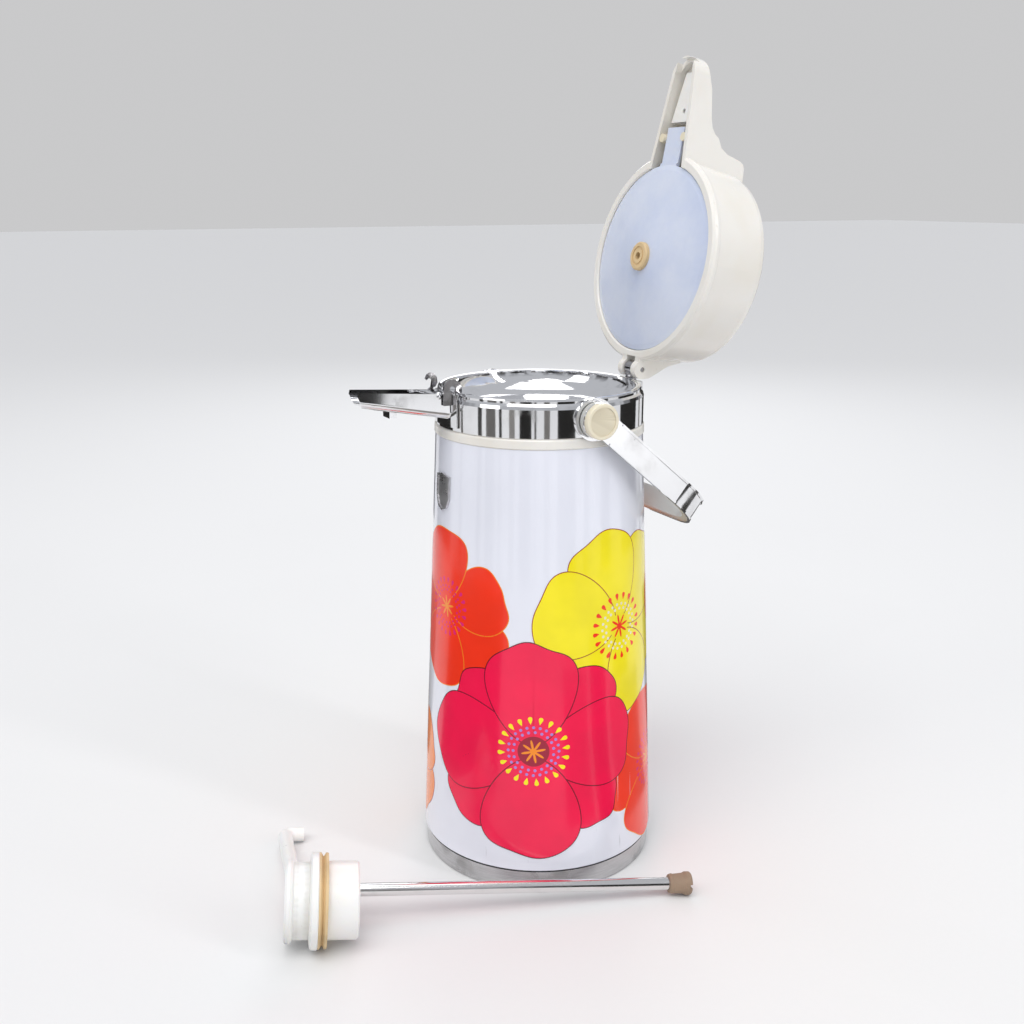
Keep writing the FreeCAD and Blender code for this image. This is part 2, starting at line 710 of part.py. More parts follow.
disc_low = [
    (9.2, 299.4),
    (30.0, 302.4),
    (disc_radius - 3.0, 305.6),
    (disc_radius, 306.4),
]
disc_profile = disc_low + [(r, z + disc_wall) for r, z in reversed(disc_low)]
lid_disc = lathe(disc_profile)
lid_disc = lid_disc.fuse(lathe([(6.1, 299.4), (9.2, 299.4), (9.2, 300.9), (6.1, 300.9)]))
tab_z = 307.6
tab = block(-8.6, 8.6, -80.5, -disc_radius + 1.5, tab_z, tab_z + disc_wall)
tab_step = block(-8.6, 8.6, -disc_radius - 1.2, -disc_radius + 1.5, 306.6, tab_z + disc_wall)
lid_disc = lid_disc.fuse(tab).fuse(tab_step)
lid_disc = max(lid_disc.Solids, key=lambda s: s.Volume)
write(raised_lid(lid_disc), "lid_disc")

packing = lathe([
    (2.4, 296.6),
    (8.0, 296.6),
    (8.8, 297.4),
    (8.8, 299.35),
    (6.05, 299.35),
    (6.05, 300.95),
    (8.4, 300.95),
    (8.0, 303.0),
    (2.4, 303.0),
])
packing = packing.cut(lathe([(4.6, 296.0), (6.0, 296.0), (6.0, 297.2), (4.6, 297.2)]))
write(raised_lid(packing), "outlet_packing")

bumper_y = -74.2
for side, word in ((-1, "left"), (1, "right")):
    bumper = disc(2.6, 305.7, channel_root_z, side * 11.0, bumper_y)
    write(raised_lid(bumper.cut(tab)), "bumper_" + word)

plate_outline = [(-11.4, -84.4), (11.4, -84.4), (4.6, -114.0), (-4.6, -114.0)]
plate_low_z = 310.8
plate_ring = [V(x, y, plate_low_z) for x, y in plate_outline]
beak_plate = Part.Face(Part.makePolygon(plate_ring + plate_ring[:1])).extrude(V(0, 0, 1.6))
plate_posts = disc(3.0, plate_low_z + 0.5, channel_tip_z, 0, -91.0)
plate_posts = plate_posts.fuse(disc(2.4, plate_low_z + 0.5, channel_tip_z, 0, -110.0))
beak_plate = beak_plate.fuse(plate_posts).cut(disc(1.5, 300, plate_low_z + 2.2, 0, -91.0))
write(raised_lid(beak_plate), "beak_plate")
beak_screw = disc(1.45, plate_low_z + 1.0, plate_low_z + 2.1, 0, -91.0)
write(raised_lid(beak_screw), "beak_screw")

lock = block(-lock_half, lock_half, lock_front_y, lock_back_y, lock_low_z - 3.6, lock_low_z + 3.6)
for count in range(4):
    x = -4.2 + 2.8 * count
    lock = lock.cut(block(x - 0.4, x + 0.4, lock_front_y - 1, lock_back_y + 1, lock_low_z + 2.9, lock_low_z + 5))
write(raised_lid(lock), "lock_slider")

# ---- pump inside the lid -------------------------------------------------------------------
pump_base_z = bead_top + 0.4
pump_base = lathe([
    (2.6, pump_base_z),
    (disc_radius, pump_base_z),
    (disc_radius, pump_base_z + 2.0),
    (2.6, pump_base_z + 2.0),
])
pump_base = pump_base.cut(block(-20, 20, -70, -50.8, 300, 330))
write(raised_lid(pump_base), "pump_base")
pump_collar_low = bead_top + 0.4
outlet_tube = lathe([(2.6, 303.05), (5.2, 303.05), (5.2, pump_base_z - 0.05), (2.6, pump_base_z - 0.05)])
write(raised_lid(outlet_tube), "air_outlet_tube")

push_top = drum_top_z - 0.4
push_plate = lathe([
    (0.0, push_top - 3.2),
    (push_radius - 2.4, push_top - 3.2),
    (push_radius - 2.4, push_top - 11.0),
    (push_radius, push_top - 11.0),
    (push_radius, push_top - 0.8),
    (push_radius - 0.8, push_top),
    (push_radius - 6.0, push_top),
    (push_radius - 8.0, push_top - 1.0),
    (0.0, push_top - 1.4),
])
write(raised_lid(push_plate), "push_plate")

bellows_low = pump_base_z + 2.1
bellows_high = push_top - 3.3
folds = 5
outer_side = []
inner_side = []
pitch = (bellows_high - bellows_low) / (2 * folds)
for count in range(2 * folds + 1):
    swell = 38.0 if count % 2 else 33.0
    outer_side.append((swell, bellows_low + pitch * count))
    inner_side.append((swell - 1.2, bellows_low + pitch * count))
bellows = lathe(outer_side + inner_side[::-1])
write(raised_lid(bellows), "pump_bellows")

spring_radius = 12.0
spring_wire = 0.9
turns = 5
spring_height = bellows_high - bellows_low - 2 * spring_wire
arcs_per_turn = 4
arc_edges = []
for k in range(turns * arcs_per_turn):
    coil_points = []
    for j in range(4):
        angle = (k + j / 3.0) / arcs_per_turn * 2 * math.pi
        rise = angle / (2 * math.pi) * spring_height / turns
        coil_points.append(V(spring_radius * math.cos(angle), spring_radius * math.sin(angle),
                             bellows_low + spring_wire + rise))
    ends = []
    for angle in (k / arcs_per_turn * 2 * math.pi, (k + 1) / arcs_per_turn * 2 * math.pi):
        tangent = V(-spring_radius * math.sin(angle), spring_radius * math.cos(angle),
                    spring_height / turns / (2 * math.pi))
        ends.append(tangent)
    arc = Part.BSplineCurve()
    arc.interpolate(Points=coil_points, InitialTangent=ends[0], FinalTangent=ends[1])
    arc_edges.append(arc.toShape())
start = V(spring_radius, 0, bellows_low + spring_wire)
circle = Part.Wire([Part.makeCircle(spring_wire, start, V(0, 1, 0.15))])
spring = Part.Wire(arc_edges).makePipeShell([circle], True, True)
write(raised_lid(spring), "pump_spring")

# ---- stopper unit, drawn upright about Z and then laid down ----------------------------------
# Height 0 is the underside of the flange.
waist_height = 9.5
flange_height = 4.5
plate_height = 5.0
stopper_top_z = flange_height + waist_height + plate_height
gasket_height = 5.2
stopper = lathe([
    (3.0, -gasket_height),
    (stopper_low_radius, -gasket_height),
    (stopper_low_radius, 0.0),
    (stopper_flange_radius - 0.6, 0.0),
    (stopper_flange_radius, 0.6),
    (stopper_flange_radius - 0.2, flange_height - 0.8),
    (stopper_flange_radius - 1.2, flange_height),
    (21.4, flange_height + 0.8),
    (21.2, flange_height + waist_height),
    (22.6, flange_height + waist_height + 0.8),
    (23.4, flange_height + waist_height + 2.2),
    (23.2, stopper_top_z - 1.4),
    (22.0, stopper_top_z),
    (11.4, stopper_top_z),
    (10.4, stopper_top_z - 7.8),
    (3.0, stopper_top_z - 7.8),
])
low_cup = lathe([
    (3.0, -gasket_height - 0.05),
    (stopper_low_radius, -gasket_height - 0.05),
    (stopper_low_radius, -stopper_low_height - gasket_height + 1.0),
    (stopper_low_radius - 1.0, -stopper_low_height - gasket_height),
    (3.0, -stopper_low_height - gasket_height),
])
gasket = lathe([
    (stopper_low_radius + 0.02, -0.05),
    (26.4, -0.05),
    (26.6, -1.0),
    (24.2, -2.4),
    (26.4, -3.8),
    (26.2, -gasket_height),
    (stopper_low_radius + 0.02, -gasket_height),
])
tube_top = flange_height + waist_height - 6.0
tube_low = -stopper_low_height - gasket_height - tube_length
dip_tube = disc(tube_radius, tube_low, tube_top, 0, -tube_offset)
dip_tube = dip_tube.cut(disc(tube_radius - 0.6, tube_low - 1, tube_top + 1, 0, -tube_offset))
tube_socket = disc(tube_radius + 0.02, tube_low - 1, tube_top + 0.02, 0, -tube_offset)
low_cup = low_cup.cut(tube_socket)
stopper = stopper.cut(tube_socket)
foot_low = tube_low - foot_length + 4.0
tube_foot = lathe([
    (tube_radius + 0.02, tube_low + 4.0),
    (tube_radius + 1.6, tube_low + 4.0),
    (tube_radius + 2.2, tube_low + 2.4),
    (tube_radius + 1.9, tube_low + 1.0),
    (foot_radius - 0.8, foot_low + 5.0),
    (foot_radius, foot_low + 3.4),
    (foot_radius, foot_low + 0.8),
    (foot_radius - 0.6, foot_low),
    (2.4, foot_low),
    (2.4, tube_low - 0.05),
    (tube_radius + 0.02, tube_low - 0.05),
])
side_cut = block(-1.2, 1.2, -10, 10, foot_low - 1, foot_low + 1.6)
tube_foot = tube_foot.cut(side_cut)
tube_foot.translate(V(0, -tube_offset, 0))

# the delivery pipe leaves the waist toward -Y, climbs a little and turns down at the tip
pipe_start = V(0, -tube_offset, flange_height + waist_height - 1.2)
pipe_corner = V(0, -pipe_reach, stopper_top_z + 2.0)
pipe_end = V(0, -pipe_reach - 0.4, stopper_top_z + 2.0 - pipe_drop)


def pipe_solid(radius, extra):
    """A straight run, a round corner and a short downward nozzle."""
    bend = 6.0
    run = (pipe_corner - pipe_start).normalize()
    fall = (pipe_end - pipe_corner).normalize()
    half_turn = run.getAngle(fall) / 2
    back = bend * math.tan(half_turn)
    enter = pipe_corner - run * back
    leave = pipe_corner + fall * back
    inward = (fall - run).normalize()
    centre = pipe_corner + inward * (bend / math.cos(half_turn))
    middle = centre - inward * bend
    first = pipe_start - run * extra
    last = pipe_end + fall * extra
    path = Part.Wire([
        Part.makeLine(first, enter),
        Part.Arc(enter, middle, leave).toShape(),
        Part.makeLine(leave, last),
    ])
    ring = Part.Wire([Part.makeCircle(radius, first, run)])
    return path.makePipeShell([ring], True, False)


pipe = pipe_solid(pipe_radius, 0.0).cut(pipe_solid(pipe_bore, 2.0))
stopper = stopper.cut(pipe_solid(pipe_radius + 0.02, 0.0))
stopper = max(stopper.Solids, key=lambda s: s.Volume)
pipe = max(pipe.Solids, key=lambda s: s.Volume)

# Lay the unit down: the flange and the foot touch the floor, and the pipe leans back to it.
# The lean drops the offset tube a little, so lean and tilt are settled together.
axis_run = 0.6 - foot_low - 0.8
nozzle_sink = 1.5                 # the nozzle end lies this much lower than the elbow
tilt = 4.0
pipe_lean = 10.0
for step in range(8):
    axis_height = stopper_flange_radius * math.cos(math.radians(tilt))
    elbow_height = axis_height + (stopper_top_z + 2.0) * math.sin(math.radians(tilt))
    pipe_lean = math.degrees(math.asin((elbow_height - pipe_radius - nozzle_sink) / pipe_reach))
    tube_sink = tube_offset * math.sin(math.radians(pipe_lean))
    tilt = math.degrees(math.atan2(stopper_flange_radius - foot_radius - tube_sink, axis_run))


def laid_down(shape):
    """Move a piece from the upright stopper frame to where it lies on the floor."""
    moved = turned(shape, V(0, 0, 0), V(0, 0, 1), 180 + pipe_lean)
    moved.rotate(V(0, 0, 0), V(0, 1, 0), -90 + tilt)
    moved.rotate(V(0, 0, 0), V(0, 0, 1), stopper_heading)
    moved.translate(V(stopper_spot[0], stopper_spot[1], axis_height))
    return moved


unit = {
    "stopper_body": stopper,
    "stopper_lower": low_cup,
    "stopper_gasket": gasket,
    "dip_tube": dip_tube,
    "dip_tube_foot": tube_foot,
    "delivery_pipe": pipe,
}
for name, shape in unit.items():
    write(laid_down(shape), name)
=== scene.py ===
"""Looks for a pump vacuum jug that stands open, with its stopper laid beside it.

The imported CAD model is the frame. Its nodes keep their shapes and take procedural finishes here,
and the printed flowers are thin ink films laid on the tapered body.
"""

from __future__ import annotations

import json
import logging
import math
from dataclasses import dataclass, field, replace
from enum import Enum
from typing import Iterable, Sequence, Union

import bmesh
import bpy
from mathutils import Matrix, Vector

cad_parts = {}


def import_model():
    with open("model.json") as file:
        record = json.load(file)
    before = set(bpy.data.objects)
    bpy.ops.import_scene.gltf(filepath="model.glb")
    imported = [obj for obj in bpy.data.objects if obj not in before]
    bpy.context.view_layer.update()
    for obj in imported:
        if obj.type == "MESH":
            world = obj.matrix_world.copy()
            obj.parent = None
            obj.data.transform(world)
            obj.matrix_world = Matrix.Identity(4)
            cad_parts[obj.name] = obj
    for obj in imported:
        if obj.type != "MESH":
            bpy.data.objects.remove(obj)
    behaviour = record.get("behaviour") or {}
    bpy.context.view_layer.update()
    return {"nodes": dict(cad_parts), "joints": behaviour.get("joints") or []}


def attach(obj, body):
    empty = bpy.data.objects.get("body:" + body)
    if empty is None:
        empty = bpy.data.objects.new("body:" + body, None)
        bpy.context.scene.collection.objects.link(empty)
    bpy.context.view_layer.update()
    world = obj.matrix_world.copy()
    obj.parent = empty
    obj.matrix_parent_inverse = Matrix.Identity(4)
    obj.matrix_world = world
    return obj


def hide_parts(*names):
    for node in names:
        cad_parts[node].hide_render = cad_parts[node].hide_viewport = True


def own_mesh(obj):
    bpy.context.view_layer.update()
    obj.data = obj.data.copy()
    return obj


LOG = logging.getLogger("pump_jug")
MM = 0.001

Triple = tuple[float, float, float]
Colour = Triple
Point = tuple[float, float]


def linear(red: int, green: int, blue: int) -> Colour:
    """Turns a display colour into the linear one that shaders work in.

    Args:
        red: Red from 0 to 255.
        green: Green from 0 to 255.
        blue: Blue from 0 to 255.

    Returns:
        The three linear values.
    """

    def channel(value: int) -> float:
        """One channel of the colour."""
        part = value / 255
        return part / 12.92 if part <= 0.04045 else ((part + 0.055) / 1.055) ** 2.4

    return (channel(red), channel(green), channel(blue))


def dim(colour: Colour, share: float) -> Colour:
    """The same colour with only a share of its light."""
    return (colour[0] * share, colour[1] * share, colour[2] * share)


# ---------------------------------------------------------------- shader kit


class Sock:
    """An output socket that can be used in arithmetic."""

    def __init__(self, tree: "Tree", socket: bpy.types.NodeSocket) -> None:
        """Keeps the socket and the tree that it is in."""
        self.tree = tree
        self.socket = socket

    def _calc(self, operation: str, left: "Value", right: "Value") -> "Sock":
        """Adds one Math node and returns its output."""
        return self.tree.add("ShaderNodeMath", {"operation": operation}, {0: left, 1: right})

    def __add__(self, other: "Value") -> "Sock":
        """Sum."""
        return self._calc("ADD", self, other)

    __radd__ = __add__

    def __sub__(self, other: "Value") -> "Sock":
        """Difference."""
        return self._calc("SUBTRACT", self, other)

    def __rsub__(self, other: "Value") -> "Sock":
        """Difference, from the left."""
        return self._calc("SUBTRACT", other, self)

    def __mul__(self, other: "Value") -> "Sock":
        """Product."""
        return self._calc("MULTIPLY", self, other)

    __rmul__ = __mul__

    def within(self, low: float, high: float, start: float = 0.0, end: float = 1.0) -> "Sock":
        """Eases from start to end as the value goes from low to high.

        Args:
            low: Value where the result is start.
            high: Value where the result is end.
            start: Result at and below low.
            end: Result at and above high.

        Returns:
            The eased value.
        """
        return self.tree.add(
            "ShaderNodeMapRange",
            {"interpolation_type": "SMOOTHSTEP", "clamp": True},
            {0: self, 1: low, 2: high, 3: start, 4: end},
        )


Value = Union[Sock, float, int]


class Tree:
    """The nodes of one material or of the world."""

    def __init__(self, owner: Union[bpy.types.Material, bpy.types.World]) -> None:
        """Empties the owner's tree and keeps it."""
        owner.use_nodes = True
        self.nodes = owner.node_tree.nodes
        self.links = owner.node_tree.links
        self.nodes.clear()

    def add(
        self,
        kind: str,
        settings: dict[str, object] | None = None,
        inputs: dict[Union[str, int], object] | None = None,
        out: Union[str, int] = 0,
    ) -> Sock:
        """Adds a node of any type.

        Args:
            kind: The node's type.
            settings: Its own settings, set first.
            inputs: Values or links by socket name or number.
            out: Which output is wanted.

        Returns:
            That output, or the first input of a node that has no outputs.
        """
        node = self.nodes.new(kind)
        for name, value in (settings or {}).items():
            setattr(node, name, value)
        for name, value in (inputs or {}).items():
            socket = node.inputs[name]
            if isinstance(value, Sock):
                self.links.new(value.socket, socket)
            elif isinstance(value, tuple) and socket.type == "RGBA" and len(value) == 3:
                socket.default_value = (*value, 1.0)
            else:
                socket.default_value = value
        return Sock(self, node.outputs[out] if len(node.outputs) else node.inputs[0])

    def place(self) -> Sock:
        """The point in the piece's own coordinates, in metres."""
        return self.add("ShaderNodeTexCoord", out="Object")

    def stretch(self, place: Sock, scale: Triple) -> Sock:
        """A point scaled along each axis."""
        return self.add(
            "ShaderNodeVectorMath", {"operation": "MULTIPLY"}, {0: place, 1: scale}
        )

    def noise(self, place: Sock, scale: float, detail: float = 2.0, rough: float = 0.5) -> Sock:
        """Soft random values from 0 to 1, with so many lumps to the metre."""
        return self.add(
            "ShaderNodeTexNoise",
            {"noise_dimensions": "3D"},
            {"Vector": place, "Scale": scale, "Detail": detail, "Roughness": rough},
        )

    def cells(self, place: Sock, scale: float) -> Sock:
        """Distance to the nearest of many scattered points."""
        return self.add(
            "ShaderNodeTexVoronoi", {"feature": "F1"}, {"Vector": place, "Scale": scale}
        )

    def axis(self, place: Sock, name: str) -> Sock:
        """One coordinate of a point."""
        return self.add("ShaderNodeSeparateXYZ", None, {0: place}, out=name)

    def tint(self, mask: Value, under: Sock | Colour, over: Sock | Colour) -> Sock:
        """A colour that goes from under to over as mask goes from 0 to 1."""
        return self.add(
            "ShaderNodeMix",
            {"data_type": "RGBA", "blend_type": "MIX", "clamp_factor": True},
            {0: mask, 6: under, 7: over},
            out=2,
        )

    def bump(self, height: Sock, depth: float, strength: float = 1.0) -> Sock:
        """A normal from a height field that is depth metres deep."""
        return self.add(
            "ShaderNodeBump", None, {"Strength": strength, "Distance": depth, "Height": height}
        )

    def peel(self, place: Sock) -> Sock:
        """The normal of a glossy coat with fine orange peel."""
        lumps_per_metre, depth, strength = 420.0, 0.00003, 0.22
        return self.bump(self.noise(place, lumps_per_metre, 1.0), depth, strength)

    def surface(self, inputs: dict[Union[str, int], object]) -> None:
        """Ends the tree in one Principled shader."""
        shader = self.add("ShaderNodeBsdfPrincipled", None, inputs)
        self.add("ShaderNodeOutputMaterial", None, {"Surface": shader})


# ------------------------------------------------------------------ finishes


@dataclass(frozen=True)
class Finish:
    """A surface finish, with the record's material slot that it belongs to."""

    name: str
    slot: str
    colour: Colour

    def paint(self, tree: Tree) -> None:
        """Fills the material's tree."""
        raise NotImplementedError

    def material(self) -> bpy.types.Material:
        """The material, made once for each finish."""
        found = bpy.data.materials.get(self.name)
        if found is None:
            found = bpy.data.materials.new(self.name)
            self.paint(Tree(found))
        return found


@dataclass(frozen=True)
class Enamel(Finish):
    """Stoved enamel on steel, with orange peel, faint clouding and scuffs low down."""

    scuff: Colour = (0.30, 0.31, 0.34)
    rough: float = 0.16

    def paint(self, tree: Tree) -> None:
        """Fills the material's tree."""
        place = tree.place()
        height = tree.axis(place, "Z")
        cloud = tree.noise(place, 14.0, 3.0)
        colour = tree.tint(cloud.within(0.35, 0.7), self.colour, dim(self.colour, 0.95))
        streaks = tree.noise(tree.stretch(place, (420.0, 420.0, 60.0)), 1.0, 3.0)
        patches = tree.noise(place, 45.0, 2.0)
        low = height.within(0.014, 0.075, 1.0, 0.0)
        marks = streaks.within(0.64, 0.74) * patches.within(0.5, 0.64) * low
        specks = tree.cells(place, 95.0).within(0.035, 0.05, 1.0, 0.0) * patches.within(0.5, 0.56)
        wear = marks * 0.35 + specks * 0.3
        colour = tree.tint(wear, colour, self.scuff)
        tree.surface(
            {
                "Base Color": colour,
                "Roughness": cloud * 0.06 + (self.rough - 0.03) + wear * 0.3,
                "Normal": tree.peel(place),
                "Coat Weight": 0.55,
                "Coat Roughness": 0.05,
                "IOR": 1.5,
            }
        )


@dataclass(frozen=True)
class Ink(Finish):
    """A glazed printing ink, a little uneven where the screen laid it."""

    deep: float = 0.88

    def paint(self, tree: Tree) -> None:
        """Fills the material's tree."""
        place = tree.place()
        cloud = tree.noise(place, 30.0, 3.0)
        grain = tree.noise(place, 1500.0, 2.0)
        mask = cloud.within(0.3, 0.7) * 0.8 + grain * 0.2
        colour = tree.tint(mask, self.colour, dim(self.colour, self.deep))
        tree.surface(
            {
                "Base Color": colour,
                "Roughness": cloud * 0.07 + 0.18,
                "Normal": tree.peel(place),
                "Coat Weight": 0.25,
                "Coat Roughness": 0.06,
                "IOR": 1.5,
            }
        )


@dataclass(frozen=True)
class Plated(Finish):
    """Plated metal with finger smudges, tiny pits and the slight waves of pressed sheet."""

    rough: float = 0.05
    wave: float = 0.12
    shade: Colour = (0.55, 0.54, 0.53)

    def paint(self, tree: Tree) -> None:
        """Fills the material's tree."""
        place = tree.place()
        smudge = tree.noise(place, 55.0, 4.0, 0.6)
        fine = tree.noise(tree.stretch(place, (900.0, 900.0, 120.0)), 1.0, 2.0)
        pits = tree.cells(place, 240.0).within(0.05, 0.09, 1.0, 0.0) * smudge.within(0.55, 0.66)
        dull = smudge.within(0.5, 0.78)
        colour = tree.tint(dull * 0.35 + pits * 0.5, self.colour, self.shade)
        waves = tree.noise(place, 38.0, 1.0)
        tree.surface(
            {
                "Base Color": colour,
                "Metallic": 1.0,
                "Roughness": dull * 0.1 + fine * 0.03 + self.rough + pits * 0.3,
                "Normal": tree.bump(waves, 0.0006, self.wave),
            }
        )


@dataclass(frozen=True)
class Brushed(Finish):
    """Drawn or turned metal with fine lines round or along it."""

    lines: Triple = (120.0, 120.0, 3500.0)
    rough: float = 0.2
    stain: Colour = (0.16, 0.15, 0.14)

    def paint(self, tree: Tree) -> None:
        """Fills the material's tree."""
        place = tree.place()
        line = tree.noise(tree.stretch(place, self.lines), 1.0, 3.0, 0.6)
        patch = tree.noise(place, 36.0, 3.0)
        grime = patch.within(0.52, 0.74)
        colour = tree.tint(line.within(0.3, 0.7), self.colour, dim(self.colour, 0.8))
        colour = tree.tint(grime * 0.45, colour, self.stain)
        tree.surface(
            {
                "Base Color": colour,
                "Metallic": 1.0,
                "Roughness": line * 0.12 + self.rough + grime * 0.18,
                "Normal": tree.bump(line, 0.00002, 0.35),
            }
        )


@dataclass(frozen=True)
class Moulded(Finish):
    """Moulded plastic that has yellowed a little, with fine grain, handling marks and painted shade in its
    hollows and creases.
    """

    aged: Colour = (0.60, 0.52, 0.38)
    rough: float = 0.34
    soft: float = 0.12
    grain: float = 0.3
    ageing: float = 0.3

    def paint(self, tree: Tree) -> None:
        """Fills the material's tree."""
        place = tree.place()
        cloud = tree.noise(place, 26.0, 3.0)
        mottle = tree.noise(place, 150.0, 3.0)
        age = cloud.within(0.42, 0.75) * self.ageing
        colour = tree.tint(age, self.colour, self.aged)
        # Painted shade: where the surface curves inwards, in hollows, creases and recesses, the colour
        # turns to a darker aged tone.
        edges = tree.add("ShaderNodeNewGeometry", out="Pointiness").within(0.44, 0.5, 1.0, 0.0)
        colour = tree.tint(edges * 0.35, colour, dim(self.aged, 0.62))
        rubs = tree.noise(tree.stretch(place, (60.0, 900.0, 300.0)), 1.0, 2.0)
        marks = rubs.within(0.68, 0.73) * mottle.within(0.5, 0.6)
        colour = tree.tint(marks * 0.35, colour, dim(self.aged, 0.7))
        tree.surface(
            {
                "Base Color": colour,
                "Roughness": mottle * 0.12 + self.rough - 0.06 + marks * 0.15,
                "Normal": tree.bump(tree.noise(place, 2200.0, 2.0), 0.00003, self.grain),
                "Subsurface Weight": self.soft,
                "Subsurface Radius": (0.004, 0.003, 0.002),
                "IOR": 1.47,
            }
        )


@dataclass(frozen=True)
class Milky(Finish):
    """Natural polypropylene, cloudy and bluish, with flow lines from its middle."""

    rim: Colour = (0.56, 0.63, 0.81)

    def paint(self, tree: Tree) -> None:
        """Fills the material's tree."""
        place = tree.place()
        cloud = tree.noise(place, 18.0, 3.0)
        flow = tree.noise(tree.stretch(place, (260.0, 40.0, 260.0)), 1.0, 2.0)
        mask = cloud.within(0.35, 0.7) * 0.7 + flow * 0.3
        colour = tree.tint(mask, self.colour, self.rim)
        tree.surface(
            {
                "Base Color": colour,
                "Roughness": cloud * 0.14 + 0.18,
                "Normal": tree.bump(cloud, 0.0008, 0.12),
                "Subsurface Weight": 0.35,
                "Subsurface Radius": (0.006, 0.007, 0.009),
                "Coat Weight": 0.3,
                "Coat Roughness": 0.12,
                "IOR": 1.49,
            }
        )


@dataclass(frozen=True)
class Rubber(Finish):
    """Moulded rubber, matt and speckled, dusty in places."""

    dust: Colour = (0.5, 0.46, 0.4)
    rough: float = 0.6

    def paint(self, tree: Tree) -> None:
        """Fills the material's tree."""
        place = tree.place()
        cloud = tree.noise(place, 60.0, 3.0)
        speck = tree.noise(place, 1300.0, 3.0, 0.65)
        colour = tree.tint(cloud.within(0.35, 0.75), self.colour, dim(self.colour, 0.78))
        colour = tree.tint(speck.within(0.62, 0.75) * 0.4, colour, self.dust)
        tree.surface(
            {
                "Base Color": colour,
                "Roughness": cloud * 0.15 + self.rough - 0.08,
                "Normal": tree.bump(speck, 0.00008, 0.4),
                "IOR": 1.5,
            }
        )


@dataclass(frozen=True)
class Backing(Finish):
    """The pale paper of the studio, with a barely seen tooth."""

    def paint(self, tree: Tree) -> None:
        """Fills the material's tree."""
        place = tree.place()
        tooth = tree.noise(place, 260.0, 2.0)
        colour = tree.tint(tooth, self.colour, dim(self.colour, 0.985))
        tree.surface({"Base Color": colour, "Roughness": 0.85, "IOR": 1.3})


ENAMEL_WHITE = Enamel("enamel_cool_white", "enamel_white", linear(236, 238, 248))
IVORY = Moulded(
    "plastic_warm_white",
    "plastic_ivory_white",
    linear(238, 235, 229),
    aged=linear(222, 213, 194),
    rough=0.24,
    soft=0.1,
    grain=0.15,
    ageing=0.25,
)
WHITE = Moulded(
    "plastic_clean_white",
    "plastic_white",
    linear(243, 243, 241),
    aged=linear(226, 220, 204),
    rough=0.3,
    soft=0.2,
    grain=0.25,
    ageing=0.2,
)
CAP_IVORY = Moulded("plastic_cap_ivory", "cap_ivory", linear(236, 227, 204), linear(214, 198, 160), 0.36)
GRIP_GREY = Moulded("plastic_grip_pale", "plastic_grey", linear(196, 196, 192), linear(160, 154, 140), 0.42)
DISC_BLUE = Milky("plastic_milky_blue", "plastic_clear_blue", linear(222, 228, 242))
CHROME = Plated("chrome_bright", "chrome", (0.86, 0.86, 0.87))
CHROME_DARK = Plated("chrome_smoky", "chrome_dark", (0.46, 0.45, 0.46), 0.09, 0.2, (0.2, 0.19, 0.19))
CHROME_BADGE = Plated("chrome_badge", "chrome_dark", (0.72, 0.71, 0.72), 0.24, 0.3, (0.36, 0.35, 0.35))
SILVERED = Plated(
    "silvered_glass_mirror", "silvered_glass", (0.83, 0.86, 0.88), 0.03, 0.06, (0.5, 0.55, 0.58)
)
STEEL_RING = Brushed("steel_turned_ring", "chrome", (0.62, 0.61, 0.62), (90.0, 90.0, 2600.0), 0.14)
STEEL_TUBE = Plated("steel_drawn_tube", "steel_tube", (0.77, 0.76, 0.76), 0.12, 0.02, (0.5, 0.49, 0.48))
STEEL_WIRE = Brushed("steel_spring_wire", "steel_spring", (0.5, 0.5, 0.5), (1200.0, 1200.0, 1200.0), 0.25)
TAN = Rubber("rubber_tan_moulded", "rubber_tan", linear(224, 196, 150))
BROWN = Rubber("rubber_brown_moulded", "rubber_brown", linear(160, 136, 114))
BLACK = Rubber("rubber_black_band", "rubber_black", linear(26, 26, 28), (0.09, 0.09, 0.09), 0.5)


class InkName(Enum):
    """The inks of the print."""

    CRIMSON = Ink("ink_crimson", "enamel_white", linear(252, 0, 74))
    MAROON = Ink("ink_maroon", "enamel_white", linear(92, 6, 30))
    WINE = Ink("ink_wine", "enamel_white", linear(158, 4, 46))
    YELLOW = Ink("ink_yellow", "enamel_white", linear(255, 238, 0))
    RUST = Ink("ink_rust", "enamel_white", linear(158, 40, 20))
    VERMILION = Ink("ink_vermilion", "enamel_white", linear(255, 48, 0))
    AMBER = Ink("ink_amber", "enamel_white", linear(255, 146, 20))
    ORANGE = Ink("ink_orange", "enamel_white", linear(255, 132, 10))
    MAGENTA = Ink("ink_magenta", "enamel_white", linear(236, 24, 120))
    LILAC = Ink("ink_lilac", "enamel_white", linear(176, 132, 216))
    PALE = Ink("ink_pale", "enamel_white", linear(247, 240, 214))


# --------------------------------------------------------------- mesh helpers


def mesh_object(
    name: str,
    verts: Sequence[Sequence[float]],
    faces: Sequence[Sequence[int]],
    finishes: Sequence[Finish],
    picks: Sequence[int] | None = None,
) -> bpy.types.Object:
    """Makes a smooth-shaded object from vertices and faces.

    Args:
        name: The piece's name.
        verts: Vertices in metres.
        faces: Vertex numbers of each face.
        finishes: The finishes that its faces use.
        picks: For each face, the number of its finish.

    Returns:
        The new object, in the scene.
    """
    data = bpy.data.meshes.new(name)
    data.from_pydata(verts, [], faces)
    for finish in finishes:
        data.materials.append(finish.material())
    if picks is not None:
        data.polygons.foreach_set("material_index", picks)
    data.polygons.foreach_set("use_smooth", [True] * len(data.polygons))
    data.set_sharp_from_angle(angle=math.radians(50))
    data.update()
    made = bpy.data.objects.new(name, data)
    bpy.context.scene.collection.objects.link(made)
    return made


